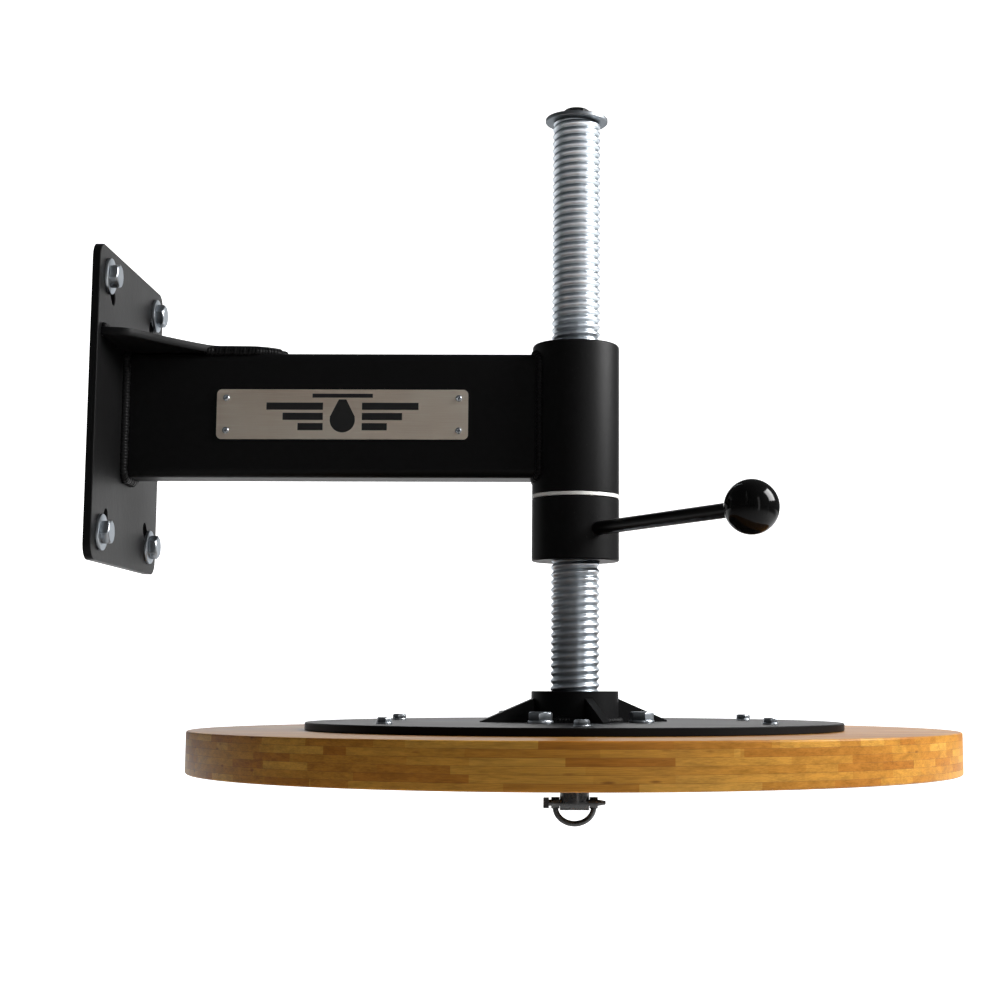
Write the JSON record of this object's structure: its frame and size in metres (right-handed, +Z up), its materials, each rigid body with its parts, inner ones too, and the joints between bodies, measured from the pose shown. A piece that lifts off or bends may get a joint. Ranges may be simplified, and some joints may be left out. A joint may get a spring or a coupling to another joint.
{
  "type": "speed bag platform",
  "caption": "Wall-mounted speed bag platform: a round wooden board hung on a lift screw with a lever lock, carried by a short steel arm and wall plate.",
  "frame": {"origin": "centre of the wall plate's back face, where it meets the wall", "axes": "+X out of the wall along the arm, +Y sideways across the wall plate, +Z up along the lift screw"},
  "size_m": [0.666, 0.6, 0.5805],
  "materials": {
    "black_coat": "semi-gloss black powder coat",
    "black_gloss": "gloss black paint",
    "zinc": "bright zinc plating",
    "zinc_thread": "zinc plated, turned thread, slightly worn crests",
    "dark_steel": "black oxide",
    "name_steel": "brushed stainless with a printed black picture",
    "rivet_metal": "plain domed rivet",
    "nylon": "white nylon",
    "knob_black": "polished black phenolic",
    "board_wood": "laminated strips, clear satin varnish"
  },
  "bodies": {
    "wall_bracket": {"wall_plate": "black_coat", "wall_bolts": "zinc", "wall_washers": "zinc", "arm_tube": "black_coat", "top_gusset": "black_coat", "arm_root_weld": "black_coat", "gusset_weld": "black_coat", "housing_weld": "black_coat", "screw_housing": "black_coat", "nameplate": "name_steel", "nameplate_rivets": "rivet_metal"},
    "lock_ring": {"lock_washer": "nylon"},
    "lock_nut": {"lock_collar": "black_coat", "lever_rod": "black_gloss", "lever_knob": "knob_black"},
    "lift_stop": {"stop_washer": "zinc"},
    "platform": {"stop_bolt": "dark_steel", "lift_screw": "zinc_thread", "hub_ring": "black_coat", "hub_ribs": "black_coat", "hub_weld": "black_coat", "top_plate": "black_coat", "hub_bolts": "zinc", "hub_bolt_washers": "zinc", "rim_screws": "zinc", "rim_screw_washers": "zinc", "board": "board_wood", "bag_fitting": "dark_steel", "bag_fitting_screws": "dark_steel", "shackle_pin": "dark_steel"},
    "bag_shackle": {"shackle_bow": "dark_steel"}
  },
  "joints": [
    {"name": "lock_drop", "type": "slide", "parent": "wall_bracket", "child": "lock_ring", "axis": [0, 0, 1], "range_m": [-0.00301, 0]},
    {"name": "lock_turn", "type": "hinge", "parent": "lock_ring", "child": "lock_nut", "pos_m": [0.366, 0, 0], "axis": [0, 0, 1], "range_deg": [-180, 0]},
    {"name": "platform_lift", "type": "slide", "parent": "wall_bracket", "child": "lift_stop", "axis": [0, 0, 1], "range_m": [-0.1801, 0.0901]},
    {"name": "platform_turn", "type": "hinge", "parent": "lift_stop", "child": "platform", "pos_m": [0.366, 0, 0], "axis": [0, 0, 1], "range_deg": [-10800, 5400]},
    {"name": "shackle_swing", "type": "hinge", "parent": "platform", "child": "bag_shackle", "pos_m": [0.366, 0, -0.305], "axis": [1, 0, 0], "range_deg": [-90, 90]}
  ],
  "couplings": [
    {"joint": "lock_drop", "follows": "lock_turn", "m_per_rad": 0.00095493},
    {"joint": "platform_lift", "follows": "platform_turn", "m_per_rad": 0.00095493}
  ]
}
